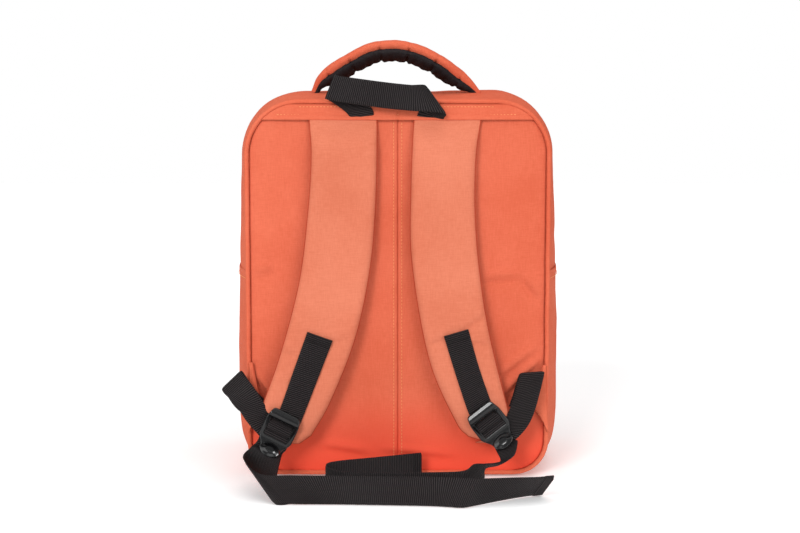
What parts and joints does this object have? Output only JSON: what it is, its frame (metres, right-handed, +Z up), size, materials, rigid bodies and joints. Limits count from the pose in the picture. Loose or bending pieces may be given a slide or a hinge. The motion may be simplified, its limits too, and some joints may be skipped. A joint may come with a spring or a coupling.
{
  "type": "trauma backpack",
  "caption": "Soft rectangular first responder backpack with padded shoulder straps, ladder lock adjusters, carry handle, hang loop and a zipped clamshell front lid with a pocket.",
  "frame": {"origin": "centre of the flat base, on the surface that the pack stands on", "axes": "+Z up, -Y towards the harness side with the shoulder straps, +Y towards the opening side, +X to the right when looking at the harness side"},
  "size_m": [0.386, 0.3468, 0.4905],
  "materials": {
    "shell_cloth": "woven coral orange polyester, matt with a faint sheen",
    "piping": "coral orange cloth over a cord",
    "hem": "folded and stitched coral orange cloth",
    "webbing": "black ribbed polypropylene webbing",
    "binding": "black woven cloth, gathered",
    "foam": "closed cell foam",
    "board": "stiff polyethylene sheet",
    "lining": "plain dark lining cloth",
    "zipper_coil": "black nylon coil on tape",
    "slider_metal": "black lacquered zinc",
    "buckle_plastic": "glossy black moulded acetal",
    "reflective": "grey retroreflective tape"
  },
  "bodies": {
    "bag": {"left_back_panel": "shell_cloth", "right_back_panel": "shell_cloth", "yoke": "shell_cloth", "back_foam": "foam", "frame_board": "board", "back_lining": "lining", "rear_piping": "piping", "top_gusset": "shell_cloth", "left_gusset": "shell_cloth", "right_gusset": "shell_cloth", "base_panel": "shell_cloth", "base_board": "board", "left_pocket": "shell_cloth", "right_pocket": "shell_cloth", "left_pocket_hem": "hem", "right_pocket_hem": "hem", "front_rim": "shell_cloth", "front_piping": "piping", "rim_zipper_coil": "zipper_coil", "left_wing": "shell_cloth", "right_wing": "shell_cloth", "left_load_webbing": "webbing", "right_load_webbing": "webbing", "left_tail": "webbing", "right_tail": "webbing"},
    "front_lid": {"lid_panel": "shell_cloth", "lid_foam": "foam", "lid_zipper_coil": "zipper_coil", "front_pocket": "shell_cloth", "pocket_zipper_coil": "zipper_coil"},
    "pocket_flap": {"flap_panel": "shell_cloth", "flap_zipper_coil": "zipper_coil", "reflective_strip": "reflective"},
    "main_slider": {"main_slider": "slider_metal"},
    "main_puller": {"main_puller": "slider_metal"},
    "pocket_slider": {"pocket_slider": "slider_metal"},
    "pocket_puller": {"pocket_puller": "slider_metal"},
    "left_shoulder_strap": {"left_strap_backing": "shell_cloth", "left_strap_foam": "foam", "left_strap_facing": "shell_cloth", "left_strap_webbing": "webbing"},
    "left_ladder_lock": {"left_ladder_lock": "buckle_plastic", "left_webbing_wrap": "webbing"},
    "right_shoulder_strap": {"right_strap_backing": "shell_cloth", "right_strap_foam": "foam", "right_strap_facing": "shell_cloth", "right_strap_webbing": "webbing"},
    "right_ladder_lock": {"right_ladder_lock": "buckle_plastic", "right_webbing_wrap": "webbing"},
    "carry_handle": {"handle_cover": "shell_cloth", "handle_core": "foam", "handle_binding": "binding"},
    "hang_loop": {"hang_loop": "webbing"}
  },
  "joints": [
    {"name": "lid_opens", "type": "hinge", "parent": "bag", "child": "front_lid", "pos_m": [0, 0.097, 0.036], "axis": [-1, 0, 0], "range_deg": [0, 90]},
    {"name": "pocket_flap_opens", "type": "hinge", "parent": "front_lid", "child": "pocket_flap", "pos_m": [0, 0.123, 0.09], "axis": [-1, 0, 0], "range_deg": [0, 90]},
    {"name": "main_slider_runs", "type": "slide", "parent": "bag", "child": "main_slider", "axis": [0, 0, 1], "range_m": [0, 0.3]},
    {"name": "main_puller_swings", "type": "hinge", "parent": "main_slider", "child": "main_puller", "pos_m": [0.1564, 0.1039, 0.0575], "axis": [1, 0, 0], "range_deg": [0, 150]},
    {"name": "pocket_slider_runs", "type": "slide", "parent": "front_lid", "child": "pocket_slider", "axis": [0, 0, 1], "range_m": [0, 0.12]},
    {"name": "pocket_puller_swings", "type": "hinge", "parent": "pocket_slider", "child": "pocket_puller", "pos_m": [0.1044, 0.1299, 0.1115], "axis": [1, 0, 0], "range_deg": [0, 150]},
    {"name": "left_strap_swings", "type": "hinge", "parent": "bag", "child": "left_shoulder_strap", "pos_m": [0, -0.1025, 0.404], "axis": [-1, 0, 0], "range_deg": [0, 15]},
    {"name": "left_lock_tilts", "type": "hinge", "parent": "left_shoulder_strap", "child": "left_ladder_lock", "pos_m": [-0.12479, -0.13214, 0.07262], "axis": [-0.8942, 0.0172, 0.4474], "range_deg": [0, 7]},
    {"name": "right_strap_swings", "type": "hinge", "parent": "bag", "child": "right_shoulder_strap", "pos_m": [0, -0.1025, 0.404], "axis": [-1, 0, 0], "range_deg": [0, 15]},
    {"name": "right_lock_tilts", "type": "hinge", "parent": "right_shoulder_strap", "child": "right_ladder_lock", "pos_m": [0.0933, -0.13191, 0.07861], "axis": [-0.788, -0.0236, -0.6152], "range_deg": [0, 7]},
    {"name": "handle_folds", "type": "hinge", "parent": "bag", "child": "carry_handle", "pos_m": [0, -0.045, 0.437], "axis": [-1, 0, 0], "range_deg": [-40, 45]},
    {"name": "hang_loop_folds", "type": "hinge", "parent": "bag", "child": "hang_loop", "pos_m": [0, -0.1028, 0.405], "axis": [1, 0, 0], "range_deg": [0, 20]}
  ]
}
